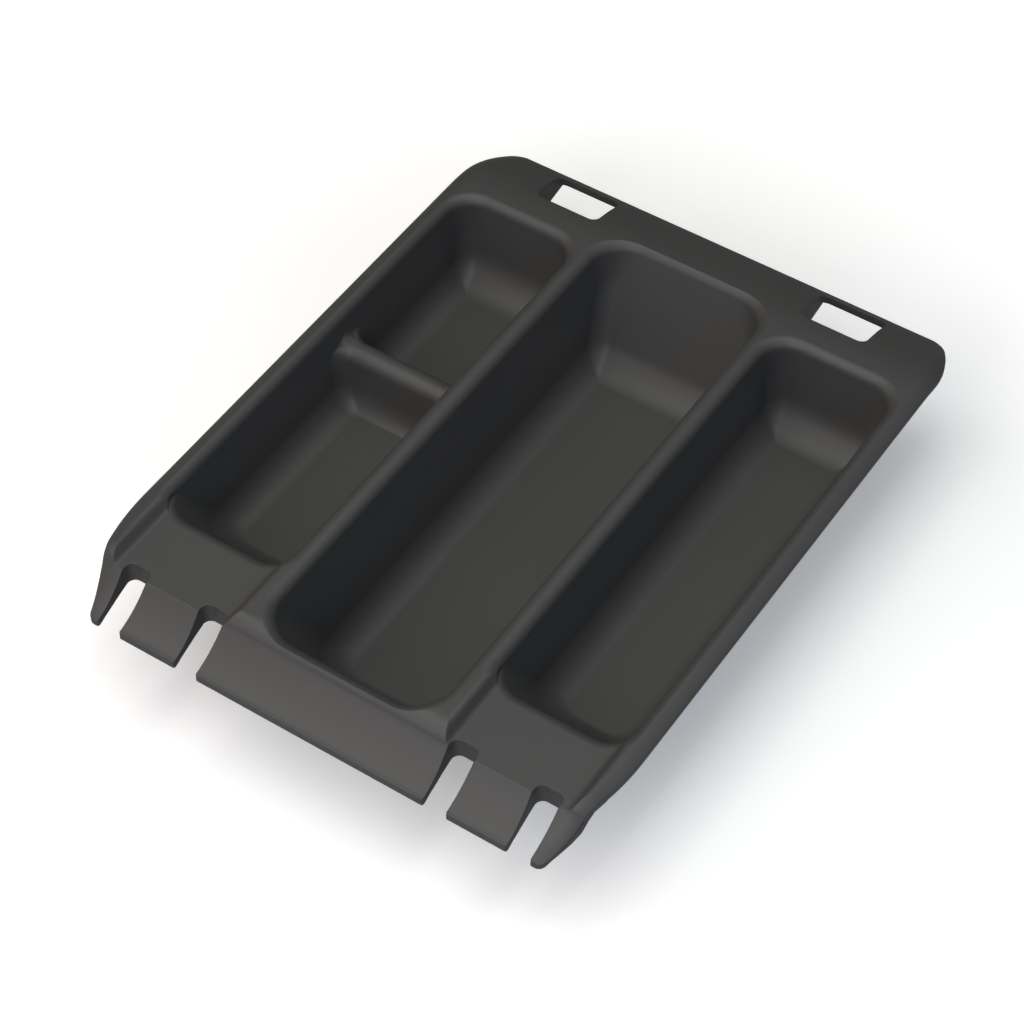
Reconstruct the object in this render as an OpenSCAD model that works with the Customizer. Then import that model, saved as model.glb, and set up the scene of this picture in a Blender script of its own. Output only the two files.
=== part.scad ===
// Drop-in organizer tray for a car's centre console: one moulding with three long
// pockets, seated on stick-on rubber bumpers and foam strips.
// Millimetres. X to the right, Y towards the rear edge, Z up from the bumpers' feet.

/* [Overall size] */
// Width over the two side rims
tray_w = 229; // [210:1:260]
// Length from the front lip to the rear edge
tray_l = 301; // [285:1:330]
// Thickness of the moulded wall
wall = 2.6; // [2:0.1:3.2]
// Height of the rims and ribs above the front platforms
crest_h = 5; // [4:0.5:7]

/* [Centre pocket] */
// Depth of the centre pocket below the platforms
centre_depth = 52.5; // [46:0.5:64]
// Width of the centre pocket between its ribs
centre_w = 78.4; // [66:0.2:84]
// Distance from the tray's middle to the top of the centre pocket's rear wall
centre_rear = 120.8; // [112:0.2:121.6]
// Distance from the tray's middle to the top of the centre pocket's front wall
centre_front = 128.9; // [118:0.1:129.5]
// Slope of the centre pocket's rear wall from the vertical, in degrees
centre_rear_slope = 17; // [4:1:24]
// Slope of the centre pocket's front wall from the vertical, in degrees
centre_front_slope = 27; // [4:1:30]
// Plan radius of the centre pocket's corners
centre_corner = 15; // [12:0.5:20]

/* [Side pockets] */
// Depth of the side pockets below the platforms
side_depth = 40; // [30:0.5:48]
// Distance from the tray's middle to the top of the side pockets' rear wall
side_rear = 109.2; // [98:0.2:112]
// Distance from the tray's middle to the top of the side pockets' front wall
side_front = 97.6; // [80:0.2:106]
// Plan radius of the side pockets' corners
side_corner = 12; // [10:0.1:16]
// Width of the rib between two pockets, which is also the rounding of its crest
rib_w = 8.4; // [7.4:0.2:11]
// Width of each side rim
rim_w = 8.3; // [7.7:0.2:12]

/* [Divider of the left pocket] */
// Distance from the tray's middle to the middle of the divider
divider_y = 22; // [-20:1:50]
// Thickness of the divider
divider_t = 10.8; // [8.6:0.2:14]
// Depth of the divider's crest below the platforms
divider_drop = 10.5; // [6:0.5:20]

/* [Pocket walls] */
// Draft of the walls under the ribs, in degrees
draft = 4.2; // [1:0.2:6]
// Draft of the left pocket's outer wall, in degrees
left_draft = 2.3; // [1:0.1:5]
// Slope of the right pocket's outer wall, in degrees
right_slope = 9.5; // [2:0.5:12]
// Draft of the side pockets' rear walls, in degrees
rear_draft = 1.5; // [0.5:0.5:6]
// Fillet between walls and floor
floor_fillet = 11.4; // [6:0.2:12]

/* [Front skirt] */
// Run of the skirt from its bend to the lip
skirt_run = 18.1; // [16:0.1:20]
// Drop of the skirt from the platforms to the foot of the lip
skirt_drop = 15.6; // [13:0.2:18]
// Height of the lip's face
lip_h = 3.6; // [3:0.1:4.4]
// Sag of the skirt between its bend and the lip
skirt_sag = 1.8; // [0.6:0.1:2.4]
// Width of each notch in the skirt
notch_w = 11.6; // [8:0.2:12.4]
// Reach of the notches behind the bend
notch_reach = 5.1; // [3.6:0.1:8]
// Corner radius of the notches
notch_r = 3.4; // [2:0.2:4]
// Width of each front prong, from its notch to the tray's side
prong_w = 15; // [12:0.2:19]
// Depth of the turned-down walls round the notches
notch_depth = 8.8; // [7:0.2:10]
// Radius of the sweep that brings each front corner in to its prong
prong_r = 110; // [80:2:120]

/* [Rear flange] */
// Droop of the rear edge below the rims
rear_droop = 9.5; // [6:0.5:12]
// Length of the curved part of the flange
droop_run = 38.5; // [37:0.5:42]
// Length of each rear slot across the tray
slot_l = 30.8; // [22:0.4:32]
// Width of each rear slot
slot_w = 21.8; // [14:0.2:22.4]
// Distance from the tray's middle plane to the middle of a slot
slot_x = 64.9; // [60:0.1:70]
// Strip of flange behind a slot
slot_strip = 2.8; // [2.4:0.2:4]
// Depth of the turned-down walls round the slots
slot_depth = 4; // [3.4:0.2:7]
// Corner radius of the slots
slot_r = 3.6; // [2:0.2:5]
// Plan radius of the tray's rear corners
rear_corner = 12; // [8:0.5:16]

/* [Bumpers and foam] */
// Diameter of a rubber bumper
bumper_d = 12; // [8:0.5:14]
// Height of a rubber bumper
bumper_h = 1.6; // [1:0.1:3]
// Distance between the bumpers' middles across the tray
bumper_span = 34; // [22:1:35]
// Width of the foam strips under the side rims
strip_w = 4; // [3:0.1:4.6]
// Thickness of the foam
foam_t = 1.2; // [0.8:0.1:2]
// Width of the foam pad under the rear flange
pad_w = 84; // [60:1:86]
// Length of the foam pad under the rear flange
pad_l = 11; // [7:0.5:12]

/* [Hidden] */
$fn = 32;
// Overlap that makes joined solids meet
eps = 0.02;
// Margin of a cutter past the faces it cuts
past = 3;
// Skim that the platforms' cutter takes off the skirt, so that no two faces coincide
skin_cut = 0.12;
half_w = tray_w / 2;
half_l = tray_l / 2;

// Heights above the bumpers' feet
platform_z = bumper_h + wall + centre_depth;
crest_z = platform_z + crest_h;
under_z = platform_z - wall;
// The shells run up into the deck's thickness
shell_top_z = crest_z - 0.7 * wall;
centre_floor_z = platform_z - centre_depth;
side_floor_z = platform_z - side_depth;
divider_z = platform_z - divider_drop;
lip_z = platform_z - skirt_drop;
lip_top_z = lip_z + lip_h;

// Places across the tray
rib_in = centre_w / 2;
side_in = rib_in + rib_w;
side_out = half_w - rim_w;
crest_r = rib_w / 2;

// The beads' flanks lean out from the platforms to the crests, filleted at both ends
flank_run = 3.1;
flank_a = atan2(crest_h, flank_run);
recess_in = side_in + flank_run;
recess_out = side_out - flank_run + 0.4;
foot_r = 2.6;
brow_r = 3;

// The rims round over towards their outer edges
rim_round_w = 7;
rim_edge_drop = 2.4;
rim_r = (rim_round_w * rim_round_w + rim_edge_drop * rim_edge_drop) / (2 * rim_edge_drop);

// Front of the tray
bend_y = -half_l + skirt_run;
lip_back = 1.3;
lip_round = 0.8;
notch_gap = 3.7;
notch_end_y = bend_y + notch_reach;
notch_mid_in = side_in + notch_gap + notch_w / 2;
notch_draft = 3;
notch_wall = 2.4;
collar_lap = 0.8;
prong_in = half_w - prong_w;
notch_mid_out = prong_in - notch_w / 2;
prong_sweep = 19;
prong_tip_w = 3.8;
prong_tip_r = 2.4;
prong_x = half_w - prong_r;
prong_line_x = prong_x + prong_r * cos(prong_sweep);
prong_line_y = -half_l + (prong_line_x - prong_in - prong_tip_w) / tan(prong_sweep);
prong_start_y = prong_line_y + prong_r * sin(prong_sweep);

// The crests fall in an arc that reaches the platforms' level at the bend
fall_r = 9;
fall_a = acos((fall_r - crest_h) / fall_r);
fall_y = bend_y + fall_r * sin(fall_a);

// The centre pocket's mouth sinks along its front edge, where the deck falls away
mouth_sink = 0.48 * crest_h;
mouth_foot = 0.69;
mouth_fall = [[0.5, 0], [0.67, 0.35], [0.83, 0.8], [1, 1]];

// Rear of the tray: a long sweep that ends in a tight corner
droop_start_y = half_l - droop_run;
droop_lead = 4;
droop_r = (droop_run * droop_run + rear_droop * rear_droop) / (2 * rear_droop);
slot_y = half_l - slot_strip - slot_w / 2;
slot_wall = 2.4;
cheek_depth = 16;
sweep_r = 43;
sweep_a = 30;
sweep_end_y = half_l - rear_corner * (1 - sin(sweep_a));
sweep_start_y = sweep_end_y - sweep_r * sin(sweep_a);
corner_x = half_w - sweep_r * (1 - cos(sweep_a)) - rear_corner * cos(sweep_a);
corner_y = half_l - rear_corner;

// Adhesive film between the foam and the moulding
film_t = 0.1;

// The divider's foot and the blends at its ends
divider_foot = 6;
divider_blend = 5;
divider_corner = 7;
divider_flare = 9.5;

// Steps of the computed curves
corner_steps = 6;
fillet_steps = 5;
crest_steps = 4;
skirt_steps = 6;
profile_steps = 10;

// Points of an arc about a centre, from angle a0 to angle a1
function arc(centre, r, a0, a1, steps) =
    [for (i = [0 : steps]) let (a = a0 + (a1 - a0) * i / steps)
        centre + r * [cos(a), sin(a)]];

// One ring of a pocket at height z: a rectangle with front corners rf and rear corners rr.
// Its front edge lies lower by sink
function ring(x0, x1, y0, y1, rf, rr, z, sink = 0) =
    [for (c = [[x1 - rr, y1 - rr, 0, rr], [x0 + rr, y1 - rr, 90, rr],
               [x0 + rf, y0 + rf, 180, rf], [x1 - rf, y0 + rf, 270, rf]])
        for (i = [0 : corner_steps])
            let (a = c[2] + 90 * i / corner_steps, turn = max(0, -sin(a)),
                 front = turn > 0 ? asin(turn) / 90 : 0)
            [c[0] + c[3] * cos(a), c[1] + c[3] * sin(a), z - sink * lookup(front, mouth_fall)]];

// Middle of a ring of points
function middle(points, i = 0) =
    points[i] / len(points) + (i < len(points) - 1 ? middle(points, i + 1) : [0, 0, 0]);

// Solid skinned over a stack of rings that all have the same number of points
module skin(rings) {
    n = len(rings[0]);
    last = (len(rings) - 1) * n;
    mid = last + n;
    points = concat([for (one_ring = rings) for (p = one_ring) p],
                    [middle(rings[0]), middle(rings[len(rings) - 1])]);
    sides = [for (k = [0 : len(rings) - 2]) for (i = [0 : n - 1])
        let (a = k * n + i, b = k * n + (i + 1) % n)
        each [[a, b, a + n], [b, b + n, a + n]]];
    base = [for (i = [0 : n - 1]) [mid, (i + 1) % n, i]];
    lid = [for (i = [0 : n - 1]) [mid + 1, last + i, last + (i + 1) % n]];
    polyhedron(points, concat(base, sides, lid));
}

// How far a wall has come in at height z, for a wall that starts at the crest
function lean(slope, z) = tan(slope) * max(0, crest_z - z);

// A pocket is [ends, slopes, corners, feet]: ends [x0, x1, y0, y1] at the top of its walls,
// the slopes of those four walls, its front and rear corner radius, and how much of the
// floor fillet's width its front and rear walls take
function pocket_ring(p, z, inset, grow, sink = 0) =
    let (ends = p[0], slopes = p[1], corners = p[2], feet = p[3])
    ring(ends[0] + lean(slopes[0], z) + inset - grow,
         ends[1] - lean(slopes[1], z) - inset + grow,
         ends[2] + lean(slopes[2], z - sink) + inset * feet[0] - grow,
         ends[3] - lean(slopes[3], z) - inset * feet[1] + grow,
         max(1, corners[0] - inset * feet[0] + grow),
         max(1, corners[1] - inset * feet[1] + grow), z, sink);

// Heights and insets of the fillet between wall and floor, from the top down
function fillet_levels(floor_z, r) =
    [for (i = [0 : fillet_steps]) let (a = 90 * i / fillet_steps)
        [floor_z + r * (1 - sin(a)), r * (1 - cos(a))]];

// Heights and insets of the round-over from the crest into a pocket, from the top down
function crest_levels() =
    [for (i = [0 : crest_steps]) let (a = 90 * i / crest_steps)
        [crest_z - crest_r * (1 - cos(a)), -crest_r * (1 - sin(a))]];

// Space inside a pocket, open at the top, with its edge rounded over to the crest. With sink
// the rounding of its front edge lies lower
module pocket_space(p, floor_z, r, sink = 0) {
    mouth = [p[0], p[1], p[2], [sink > 0 ? mouth_foot : 1, 1]];
    skin(concat([pocket_ring(mouth, crest_z + past, -crest_r, 0)],
                [for (v = crest_levels()) pocket_ring(mouth, v[0], v[1], 0, sink)],
                [for (v = fillet_levels(floor_z, r)) pocket_ring(p, v[0], v[1], 0)]));
}

// Outer shape of a pocket's shell, one wall outside its space
module pocket_shell(p, floor_z, sink = 0) {
    skin(concat([pocket_ring(p, shell_top_z, 0, wall, sink)],
                [for (v = fillet_levels(floor_z - wall, floor_fillet + wall))
                    pocket_ring(p, v[0], v[1], wall)]));
}

centre_pocket = [[-rib_in, rib_in, -centre_front, centre_rear],
                 [draft, draft, centre_front_slope, centre_rear_slope],
                 [centre_corner, centre_corner], [1, 1]];
right_pocket = [[side_in, side_out, -side_front, side_rear],
                [draft, right_slope, draft, rear_draft], [side_corner, side_corner], [1, 1]];
left_pocket = [[-side_out, -side_in, -side_front, side_rear],
               [left_draft, draft, draft, rear_draft], [side_corner, side_corner], [1, 1]];

// Rings of one compartment of the left pocket, which share the divider's full round crest.
// side is 1 for the compartment behind the divider and -1 for the one in front
function compartment_ring(side, z, inset, reach, corner) =
    let (foot = divider_foot / floor_fillet,
         y0 = side > 0 ? divider_y + reach : -side_front,
         y1 = side > 0 ? side_rear : divider_y - reach,
         slopes = side > 0 ? [left_draft, draft, 0, rear_draft] : [left_draft, draft, draft, 0],
         corners = side > 0 ? [corner, side_corner] : [side_corner, corner],
         feet = side > 0 ? [foot, 1] : [1, foot])
    pocket_ring([[-side_out, -side_in, y0, y1], slopes, corners, feet], z, inset, 0);

module compartment(side) {
    r = divider_t / 2;
    open = [for (v = [[1, 0.3], [0, 0]])
        compartment_ring(side, divider_z + divider_blend + v[0], v[1], eps, divider_flare)];
    crest = [for (i = [0 : crest_steps]) let (a = 90 * i / crest_steps)
        compartment_ring(side, divider_z - r * (1 - cos(a)), 0, eps + r * sin(a),
                         divider_flare + (divider_corner - divider_flare) * sin(a))];
    floor = [for (v = fillet_levels(side_floor_z, floor_fillet))
        compartment_ring(side, v[0], v[1], r, divider_corner)];
    skin(concat(open, crest, floor));
}

// Space of the left pocket: one mouth over both compartments
module left_space() {
    pocket_space(left_pocket, divider_z, divider_blend);
    compartment(1);
    compartment(-1);
}

// Groove that hollows the divider from below
module divider_groove() {
    r = divider_t / 2 - wall;
    top_z = divider_z - wall;
    reach = side_out - side_in - 2;
    translate([-(side_in + side_out) / 2, 0, 0])
        across(concat([[divider_y + r, side_floor_z - 2 * wall]],
                      arc([divider_y, top_z - r], r, 0, 180, 2 * fillet_steps),
                      [[divider_y - r, side_floor_z - 2 * wall]]), reach);
}

// Profile in Y and Z, extruded along X and centred on the tray
module across(points, length) {
    rotate([90, 0, 90]) translate([0, 0, -length / 2]) linear_extrude(length) polygon(points);
}

// Profile in X and Z, extruded along Y between two places
module along(points, y0, y1) {
    translate([0, y1, 0]) rotate([90, 0, 0]) linear_extrude(y1 - y0) polygon(points);
}

// Top of the rear flange at y, as it droops from the crest
function droop_z(y) = crest_z - droop_r + sqrt(droop_r * droop_r - pow(max(0, y - droop_start_y), 2));

// Half of the tray's width at y: straight prongs with a round tip, swept in from the rims
function plan_half(y) =
    y < prong_line_y ? prong_line_x - (prong_line_y - y) * tan(prong_sweep)
        - prong_tip_r + sqrt(max(0, pow(prong_tip_r, 2) - pow(max(0, prong_tip_r - y - half_l), 2)))
    : y < prong_start_y ? prong_x + sqrt(prong_r * prong_r - pow(y - prong_start_y, 2))
    : y > sweep_end_y ? corner_x + sqrt(max(0, rear_corner * rear_corner - pow(y - corner_y, 2)))
    : y > sweep_start_y ? half_w - sweep_r + sqrt(sweep_r * sweep_r - pow(y - sweep_start_y, 2))
    : half_w;

// Curve of the skirt from the lip up to its bend, shared by the apron, the tabs and the prongs
lip_point = [-half_l + lip_back, lip_top_z];
bend_point = [bend_y, platform_z];
skirt_line = [for (i = [0 : skirt_steps]) let (t = i / skirt_steps)
    lip_point + (bend_point - lip_point) * t - [0, 4 * skirt_sag * t * (1 - t)]];

// Crest line of the front: the lip's edge, the skirt, and the arc up to the crest
fall_line = [for (i = [1 : 5]) let (a = fall_a * (1 - i / 5))
    [fall_y - fall_r * sin(a), crest_z - fall_r * (1 - cos(a))]];
front_line = concat([[-half_l, lip_top_z - lip_round], [-half_l + 0.3, lip_top_z - lip_round / 2]],
                    skirt_line, fall_line);

// Height of the crest and of the deck's flat underside at y
function top_z(y) = y < fall_y ? lookup(y, front_line) : droop_z(y);
function flat_under_z(y) =
    y < bend_y ? lookup(y, skirt_line) - lip_h + (lip_h - wall) * (y + half_l) / skirt_run
    : y < droop_start_y ? lookup(y, [[droop_start_y - droop_lead, under_z], [droop_start_y, crest_z - wall]])
    : droop_z(y) - wall;

// How much of the rims' rounding is left at y: it fades out along both ends
function rim_fade(y) =
    y < bend_y ? 1 - 0.6 * (bend_y - y) / skirt_run
    : y > sweep_start_y ? sqrt(max(0, 1 - pow((y - sweep_start_y) / (half_l - sweep_start_y), 2)))
    : 1;

// Section of the deck at y, as a ring that runs from the underside round the right rim
function deck_ring(y) =
    let (w = plan_half(y), crest = top_z(y), fade = rim_fade(y), under = flat_under_z(y),
         edge_z = crest - fade * rim_edge_drop,
         rim_under = y > -half_l ? max(under, crest - wall) : under,
         right = concat(
            [[min(side_out - 1.2, w - 3), under],
             [min(side_out + wall, w - 1), rim_under],
             [w, max(under, edge_z - wall)]],
            [for (d = [0, 0.1, 0.26, 0.46, 0.7, 1]) let (run = rim_round_w * (1 - d))
                [w - rim_round_w * d, crest - fade * (rim_r - sqrt(rim_r * rim_r - run * run))]]))
    concat([for (p = right) [p[0], y, p[1]]],
           [for (i = [len(right) - 1 : -1 : 0]) [-right[i][0], y, right[i][1]]]);

// Stations of the deck's loft over the skirt and over the swept front corners
front_ys = [for (p = front_line) p[0]];
prong_ys = [for (i = [0 : 4]) let (y = prong_start_y - prong_r * sin(prong_sweep * (1 - i / 4)))
    if (y > fall_y + 0.5) y];

// Rims, ribs, flange and skirt as one rough deck, lofted from the lip to the rear edge
module deck() {
    rear_ys = concat(
        [droop_start_y - droop_lead, droop_start_y],
        [for (i = [1 : 2]) droop_start_y + (sweep_start_y - droop_start_y) * i / 3],
        [for (i = [0 : 5]) sweep_start_y + sweep_r * sin(sweep_a * i / 5)],
        [for (i = [1 : 6]) corner_y + rear_corner * sin(sweep_a + (90 - sweep_a) * i / 6)]);
    skin([for (y = concat(front_ys, prong_ys, rear_ys)) deck_ring(y)]);
}

// Section of a bead's flank: a fillet at its foot and a round brow at its crest, from the
// foot up, for a flank that rises from foot_x to brow_x
function flank(foot_x, brow_x) =
    let (side = sign(foot_x - brow_x), reach = tan(flank_a / 2))
    concat([for (i = [0 : 3]) let (a = flank_a * i / 3)
               [foot_x + side * foot_r * (reach - sin(a)), platform_z + foot_r * (1 - cos(a))]],
           [for (i = [0 : 3]) let (a = flank_a * (1 - i / 3) + 5 * i / 3)
               [brow_x - side * brow_r * (reach - sin(a)), crest_z - brow_r * (1 - cos(a))]]);

// Space over one front platform and its tab, between the flanks of its rib and its rim
module platform_space() {
    back_y = -side_front + side_corner;
    rib_flank = flank(recess_in, side_in);
    rim_flank = flank(recess_out, recess_out + flank_run);
    last = len(rib_flank) - 1;
    intersection() {
        across(concat([[back_y, platform_z], [bend_y + skin_cut, platform_z]],
                      [for (i = [skirt_steps : -1 : 0]) skirt_line[i] - [0, skin_cut]],
                      [[-half_l - past, lip_top_z - skin_cut], [-half_l - past, crest_z + past],
                       [back_y, crest_z + past]]), tray_w);
        along(concat([[prong_in - 1, lip_z - 2 * past], [prong_in - 1, platform_z - skin_cut / 2],
                      [rim_flank[0][0] - 0.1, platform_z - skin_cut / 2]], rim_flank,
                     [[rim_flank[last][0] + 0.5, crest_z + 2 * past],
                      [rib_flank[last][0] - 0.5, crest_z + 2 * past]],
                     [for (i = [last : -1 : 0]) rib_flank[i]],
                     [[rib_flank[0][0], lip_z - 2 * past]]), -half_l - 2 * past, 0);
    }
}

// Rounding of the platform's edge into a side pocket, which leaves the rib and rim alone
module platform_edge(p) {
    ends = p[0];
    slopes = p[1];
    r = p[2][0];
    levels = concat([[platform_z + past, crest_r]],
        [for (i = [0 : crest_steps]) let (a = 90 * i / crest_steps)
            [platform_z - crest_r * (1 - cos(a)), crest_r * (1 - sin(a))]]);
    skin([for (v = levels)
        ring(ends[0] + lean(slopes[0], v[0]), ends[1] - lean(slopes[1], v[0]),
             ends[2] + lean(slopes[2], v[0]) - v[1], ends[2] + 3 * r, r, r, v[0])]);
}

// Block with round corners from z0 to z1
module round_block(x0, x1, y0, y1, r, z0, z1) {
    translate([0, 0, z0]) linear_extrude(z1 - z0) {
        translate([x0 + r, y0]) square([x1 - x0 - 2 * r, y1 - y0]);
        translate([x0, y0 + r]) square([x1 - x0, y1 - y0 - 2 * r]);
        for (x = [x0 + r, x1 - r], y = [y0 + r, y1 - r]) translate([x, y]) circle(r);
    }
}

// Cut for one notch, or with grow the outline of the wall that is turned down round it
module notch_block(x, grow) {
    skin([for (z = [crest_z + past, lip_z - 2 * past])
        let (more = grow + (z - platform_z) * tan(notch_draft), w = notch_w / 2 + more)
        ring(x - w, x + w, -half_l - 4 * past, notch_end_y + more, notch_r, notch_r + grow, z)]);
}

// Underside of the turned-down walls, from the rear of a notch to the lip
belly = [[notch_end_y + notch_wall, platform_z - notch_depth],
         [bend_y + 1.3, platform_z - notch_depth - 0.4],
         [bend_y - 4.7, platform_z - notch_depth - 2.2],
         [bend_y - 10.7, platform_z - notch_depth - 4.4], [-half_l, lip_z]];

// Turned-down wall round one notch, deepest under the platform and level with the lip
module notch_collar(x) {
    intersection() {
        notch_block(x, notch_wall);
        across(concat(belly, [[-half_l, lip_z + collar_lap]],
                      [for (p = skirt_line) [p[0], flat_under_z(p[0]) + collar_lap]],
                      [[notch_end_y + notch_wall, under_z + collar_lap]]), tray_w);
    }
}

// Blade that hangs from the outer edge of one prong, along the tray's swept corner
module prong_blade() {
    back_y = bend_y + 11.8;
    ys = concat(front_ys, [for (y = prong_ys) if (y < back_y) y]);
    last = len(ys) - 1;
    intersection() {
        translate([0, 0, lip_z - past]) linear_extrude(crest_z - lip_z)
            polygon(concat([for (y = ys) [plan_half(y), y]],
                           [for (i = [last : -1 : 0]) [plan_half(ys[i]) - wall, ys[i]]]));
        across([[-half_l, lip_z], [bend_y - 10.7, lip_z + 2.2], [bend_y - 4.7, lip_z + 4.2],
                [bend_y - 0.1, lip_z + 7], [bend_y + 2.7, lip_z + 11.4], [bend_y + 5.7, lip_z + 14.6],
                [back_y, platform_z - 0.4], [back_y, crest_z - rim_edge_drop - wall / 2],
                [fall_y, crest_z - rim_edge_drop - wall / 2], [bend_y, platform_z - rim_edge_drop - wall / 2],
                [bend_y - 8, lip_z + 4.6], [-half_l, lip_z + wall / 2]], tray_w);
    }
}

// Cut for one rear slot, or with grow the outline of its turned-down wall
module slot_block(x, grow) {
    round_block(x - slot_l / 2 - grow, x + slot_l / 2 + grow, slot_y - slot_w / 2 - grow,
                slot_y + slot_w / 2 + grow, slot_r + grow, lip_z - past, crest_z + past);
}

// Turned-down wall round one rear slot: shallow behind it, with a deep cheek at each end
module slot_collar(x) {
    y0 = slot_y - slot_w / 2 - slot_wall;
    y1 = slot_y + slot_w / 2 + slot_wall;
    ys = [for (i = [0 : profile_steps]) y0 + (y1 - y0) * i / profile_steps];
    upper = [for (y = ys) [y, droop_z(y) - wall / 2]];
    rim = [for (i = [profile_steps : -1 : 0]) [ys[i], droop_z(ys[i]) - slot_depth]];
    cheek_z = crest_z - cheek_depth;
    cheek = [[y1, droop_z(y1) - slot_depth], [slot_y, cheek_z], [y0 + 6, cheek_z], [y0, crest_z - slot_depth]];
    intersection() {
        slot_block(x, slot_wall);
        union() {
            across(concat(upper, rim), tray_w);
            for (end_x = [x - (slot_l + slot_wall) / 2, x + (slot_l + slot_wall) / 2])
                translate([end_x, 0, 0]) across(concat(upper, cheek), slot_wall + eps);
        }
        translate([-half_w, -half_l, 0]) cube([tray_w, tray_l, crest_z]);
    }
}

// Grooves that hollow the two ribs from below
module rib_grooves() {
    groove_w = rib_w - 2 * wall;
    for (x = [-rib_in - rib_w / 2, rib_in + rib_w / 2])
        translate([x - groove_w / 2, -side_front + 2 * wall, under_z - past])
            cube([groove_w, side_front + side_rear - 4 * wall, crest_h + past]);
}

// The whole moulding: deck, pocket shells and turned-down walls, less every opening
module tray_moulding() {
    notch_xs = [-notch_mid_out, -notch_mid_in, notch_mid_in, notch_mid_out];
    slot_xs = [-slot_x, slot_x];
    color("#2b2b2d")
    difference() {
        union() {
            deck();
            pocket_shell(centre_pocket, centre_floor_z, mouth_sink + 1.6);
            pocket_shell(right_pocket, side_floor_z);
            pocket_shell(left_pocket, side_floor_z);
            prong_blade();
            mirror([1, 0, 0]) prong_blade();
            for (x = notch_xs) notch_collar(x);
            for (x = slot_xs) slot_collar(x);
        }
        pocket_space(centre_pocket, centre_floor_z, floor_fillet, mouth_sink);
        pocket_space(right_pocket, side_floor_z, floor_fillet);
        left_space();
        divider_groove();
        rib_grooves();
        for (x = notch_xs) notch_block(x, 0);
        for (x = slot_xs) slot_block(x, 0);
        platform_space();
        mirror([1, 0, 0]) platform_space();
        platform_edge(right_pocket);
        platform_edge(left_pocket);
    }
}

// Stick-on bumper: a low dome of rubber with a flat foot
module bumper(x, y) {
    r = bumper_d / 2;
    foot_r = r * 0.6;
    color("#1c1c1c")
    translate([x, y, 0])
    rotate_extrude()
    polygon(concat([[0, 0], [foot_r, 0]],
        [for (i = [1 : 5]) let (a = 90 * i / 5)
            [foot_r + (r - foot_r) * sin(a), (bumper_h - 0.3) * (1 - cos(a))]],
        [[r, bumper_h], [0, bumper_h]]));
}

// Bumpers stand under the flat part of the centre pocket's floor
bumper_front_y = -centre_front + tan(centre_front_slope) * (centre_depth + crest_h) + floor_fillet + bumper_d / 2;
bumper_rear_y = centre_rear - tan(centre_rear_slope) * (centre_depth + crest_h) - floor_fillet - bumper_d / 2;

module bumper_front_left() { bumper(-bumper_span / 2, bumper_front_y); }
module bumper_front_right() { bumper(bumper_span / 2, bumper_front_y); }
module bumper_rear_left() { bumper(-bumper_span / 2, bumper_rear_y); }
module bumper_rear_right() { bumper(bumper_span / 2, bumper_rear_y); }

// Foam strip under the sloping underside of a side rim
module foam_strip() {
    rise = rim_edge_drop / (half_w - side_out - wall);
    x0 = side_out + wall + 0.6;
    x1 = x0 + strip_w;
    top_gap = wall + film_t;
    color("#232323")
    along([for (p = [[x0, foam_t], [x1, foam_t], [x1, 0], [x0, 0]])
              [p[0], crest_z - top_gap - rise * (p[0] - side_out - wall) - p[1]]],
          prong_start_y + 4, droop_start_y - droop_lead);
}

module foam_strip_left() { mirror([1, 0, 0]) foam_strip(); }
module foam_strip_right() { foam_strip(); }

// Foam pad under the rear flange, between the slots, curved with the flange
module foam_pad_rear() {
    rear_y = half_l - slot_strip;
    ys = [for (i = [0 : 6]) rear_y - pad_l + pad_l * i / 6];
    top_gap = wall + film_t;
    color("#232323")
    across(concat([for (y = ys) [y, droop_z(y) - top_gap]],
                  [for (i = [6 : -1 : 0]) [ys[i], droop_z(ys[i]) - top_gap - foam_t]]), pad_w);
}

tray_moulding();
bumper_front_left();
bumper_front_right();
bumper_rear_left();
bumper_rear_right();
foam_strip_left();
foam_strip_right();
foam_pad_rear();
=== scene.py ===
"""Blender 4.5 scene of a drop-in organizer tray for a car's centre console.

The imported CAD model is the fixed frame. The moulding is lofted again from the same
sizes with finer steps, and each piece gets a procedural finish. Shapes are worked out
in millimetres and handed over in metres.
"""

from __future__ import annotations

import logging
import math
from dataclasses import dataclass, replace
from enum import Enum
from typing import Sequence

import bmesh
import bpy
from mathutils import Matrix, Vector

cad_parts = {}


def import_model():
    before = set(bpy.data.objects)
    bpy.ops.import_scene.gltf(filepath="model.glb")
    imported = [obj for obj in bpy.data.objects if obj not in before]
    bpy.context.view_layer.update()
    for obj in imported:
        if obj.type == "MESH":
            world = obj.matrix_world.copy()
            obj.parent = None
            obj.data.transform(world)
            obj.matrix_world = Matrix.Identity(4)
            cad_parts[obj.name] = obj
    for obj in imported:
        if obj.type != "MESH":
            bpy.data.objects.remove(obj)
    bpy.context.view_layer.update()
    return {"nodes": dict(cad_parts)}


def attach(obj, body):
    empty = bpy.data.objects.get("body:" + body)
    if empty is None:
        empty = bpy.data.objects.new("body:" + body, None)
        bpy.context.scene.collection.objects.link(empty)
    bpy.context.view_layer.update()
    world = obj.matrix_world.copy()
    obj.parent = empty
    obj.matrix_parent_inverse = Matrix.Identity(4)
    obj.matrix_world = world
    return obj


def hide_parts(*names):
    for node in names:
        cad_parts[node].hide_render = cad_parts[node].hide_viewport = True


LOG = logging.getLogger("console_tray")

MM = 0.001

Point = tuple[float, float, float]
Flat = tuple[float, float]
Ring = list[Point]
Colour = tuple[float, float, float]
Finish = bpy.types.Material
Piece = bpy.types.Object


class Combine(Enum):
    """Ways to combine two closed solids."""

    JOIN = "UNION"
    CUT = "DIFFERENCE"
    KEEP = "INTERSECT"


class Compartment(Enum):
    """The two halves of the divided pocket."""

    REAR = "rear"
    FRONT = "front"


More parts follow.
